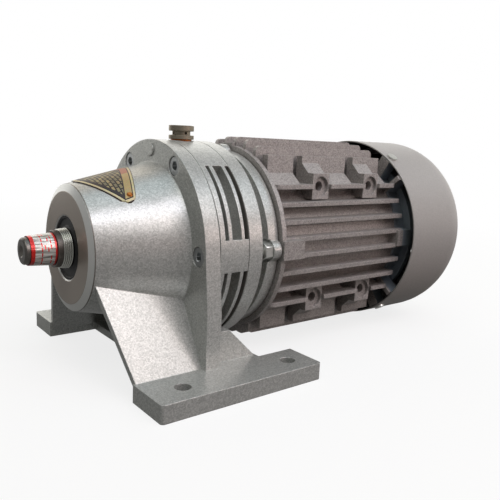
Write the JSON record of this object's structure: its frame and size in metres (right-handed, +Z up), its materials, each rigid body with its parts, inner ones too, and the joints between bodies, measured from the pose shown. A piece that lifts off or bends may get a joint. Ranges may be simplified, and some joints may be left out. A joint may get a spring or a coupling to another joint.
{
  "type": "cycloidal reducer",
  "caption": "Foot-mounted cycloidal reducer: tapered output housing on two foot bars, pin gear case with cooling grooves, finned motor with rounded fan cover.",
  "frame": {"origin": "centre of the four foot holes on the mounting face under the feet", "axes": "-Y out along the output shaft, +Y along the motor, +Z up from the mounting face"},
  "size_m": [0.2172, 0.394, 0.1722],
  "materials": {
    "cast_enamel": "silver-grey textured enamel on a sand casting",
    "frame_enamel": "silver-grey enamel on a finned die casting",
    "cover_enamel": "smooth silver-grey enamel on pressed sheet",
    "ground_steel": "turned and ground steel",
    "bearing_steel": "ground bearing steel",
    "black_steel": "blackened steel",
    "zinc_steel": "zinc-plated steel",
    "cage_brass": "machined brass",
    "breather_brass": "knurled, dulled brass",
    "copper_wire": "varnished copper winding",
    "lamination": "stacked electrical sheet",
    "cage_aluminium": "die-cast aluminium",
    "seal_rubber": "nitrile rubber",
    "gasket_paper": "oiled gasket paper",
    "fan_plastic": "moulded polypropylene",
    "film": "printed protective film, red edges",
    "plate": "etched and blackened plate with a bare border"
  },
  "bodies": {
    "casing": {"output_housing": "cast_enamel", "oil_seal": "seal_rubber", "front_bearing_outer": "bearing_steel", "rear_bearing_outer": "bearing_steel", "pin_gear_case": "cast_enamel", "ring_pins": "bearing_steel", "ring_pin_sleeves": "bearing_steel", "front_gasket": "gasket_paper", "rear_gasket": "gasket_paper", "flange_screws": "black_steel", "breather_plug": "breather_brass", "breather_washer": "copper_wire", "nameplate": "plate", "nameplate_rivets": "cage_brass", "motor_flange": "cast_enamel", "input_seal": "seal_rubber", "motor_front_bearing_outer": "bearing_steel", "motor_rear_bearing_outer": "bearing_steel", "preload_washer": "black_steel", "stator_core": "lamination", "stator_windings": "copper_wire", "motor_frame": "frame_enamel", "shield_studs": "zinc_steel", "shield_nuts": "zinc_steel", "rear_end_shield": "frame_enamel", "rear_shield_screws": "zinc_steel", "fan_cover": "cover_enamel", "fan_cover_screws": "zinc_steel", "terminal_box": "frame_enamel", "terminal_lid": "frame_enamel", "lid_gasket": "seal_rubber", "lid_screws": "zinc_steel", "terminal_block": "fan_plastic", "terminal_studs": "cage_brass", "cable_gland": "fan_plastic"},
    "output": {"output_shaft": "ground_steel", "shaft_circlip": "black_steel", "front_bearing_inner": "bearing_steel", "rear_bearing_inner": "bearing_steel", "output_pins": "bearing_steel", "output_rollers": "bearing_steel", "disc_spacer": "cage_brass"},
    "rotor": {"motor_shaft": "ground_steel", "rotor_core": "lamination", "rotor_cage": "cage_aluminium", "eccentric_cam": "ground_steel", "cam_key": "black_steel", "cam_circlip": "black_steel", "motor_front_bearing_inner": "bearing_steel", "motor_rear_bearing_inner": "bearing_steel", "cooling_fan": "fan_plastic", "fan_circlip": "black_steel"},
    "disc_front": {"cycloid_disc_front": "bearing_steel"},
    "disc_rear": {"cycloid_disc_rear": "bearing_steel"},
    "cam_row_front": {"cam_rollers_front": "bearing_steel"},
    "cam_row_rear": {"cam_rollers_rear": "bearing_steel"},
    "output_balls_front": {"front_bearing_cage": "bearing_steel"},
    "output_balls_rear": {"rear_bearing_cage": "bearing_steel"},
    "motor_balls_front": {"motor_front_bearing_cage": "bearing_steel"},
    "motor_balls_rear": {"motor_rear_bearing_cage": "bearing_steel"}
  },
  "joints": [
    {"name": "rotor_spin", "type": "hinge", "parent": "casing", "child": "rotor", "pos_m": [0, 0.05, 0.0865], "axis": [0, 1, 0], "continuous": true},
    {"name": "output_spin", "type": "hinge", "parent": "casing", "child": "output", "pos_m": [0, -0.04, 0.0865], "axis": [0, 1, 0], "continuous": true},
    {"name": "disc_front_spin", "type": "hinge", "parent": "rotor", "child": "disc_front", "pos_m": [0, 0, 0.0885], "axis": [0, 1, 0], "continuous": true},
    {"name": "disc_rear_spin", "type": "hinge", "parent": "rotor", "child": "disc_rear", "pos_m": [0, 0.008, 0.0845], "axis": [0, 1, 0], "continuous": true},
    {"name": "cam_row_front_spin", "type": "hinge", "parent": "rotor", "child": "cam_row_front", "pos_m": [0, 0, 0.0885], "axis": [0, 1, 0], "continuous": true},
    {"name": "cam_row_rear_spin", "type": "hinge", "parent": "rotor", "child": "cam_row_rear", "pos_m": [0, 0.008, 0.0845], "axis": [0, 1, 0], "continuous": true},
    {"name": "output_balls_front_spin", "type": "hinge", "parent": "casing", "child": "output_balls_front", "pos_m": [0, -0.064, 0.0865], "axis": [0, 1, 0], "continuous": true},
    {"name": "output_balls_rear_spin", "type": "hinge", "parent": "casing", "child": "output_balls_rear", "pos_m": [0, -0.027, 0.0865], "axis": [0, 1, 0], "continuous": true},
    {"name": "motor_balls_front_spin", "type": "hinge", "parent": "casing", "child": "motor_balls_front", "pos_m": [0, 0.038, 0.0865], "axis": [0, 1, 0], "continuous": true},
    {"name": "motor_balls_rear_spin", "type": "hinge", "parent": "casing", "child": "motor_balls_rear", "pos_m": [0, 0.199, 0.0865], "axis": [0, 1, 0], "continuous": true}
  ],
  "couplings": [
    {"joint": "output_spin", "follows": "rotor_spin", "ratio": -0.090909},
    {"joint": "disc_front_spin", "follows": "rotor_spin", "ratio": -1.0909},
    {"joint": "disc_rear_spin", "follows": "rotor_spin", "ratio": -1.0909},
    {"joint": "cam_row_front_spin", "follows": "rotor_spin", "ratio": -0.64303},
    {"joint": "cam_row_rear_spin", "follows": "rotor_spin", "ratio": -0.64303},
    {"joint": "output_balls_front_spin", "follows": "rotor_spin", "ratio": -0.03621},
    {"joint": "output_balls_rear_spin", "follows": "rotor_spin", "ratio": -0.036285},
    {"joint": "motor_balls_front_spin", "follows": "rotor_spin", "ratio": 0.38313},
    {"joint": "motor_balls_rear_spin", "follows": "rotor_spin", "ratio": 0.38313}
  ]
}
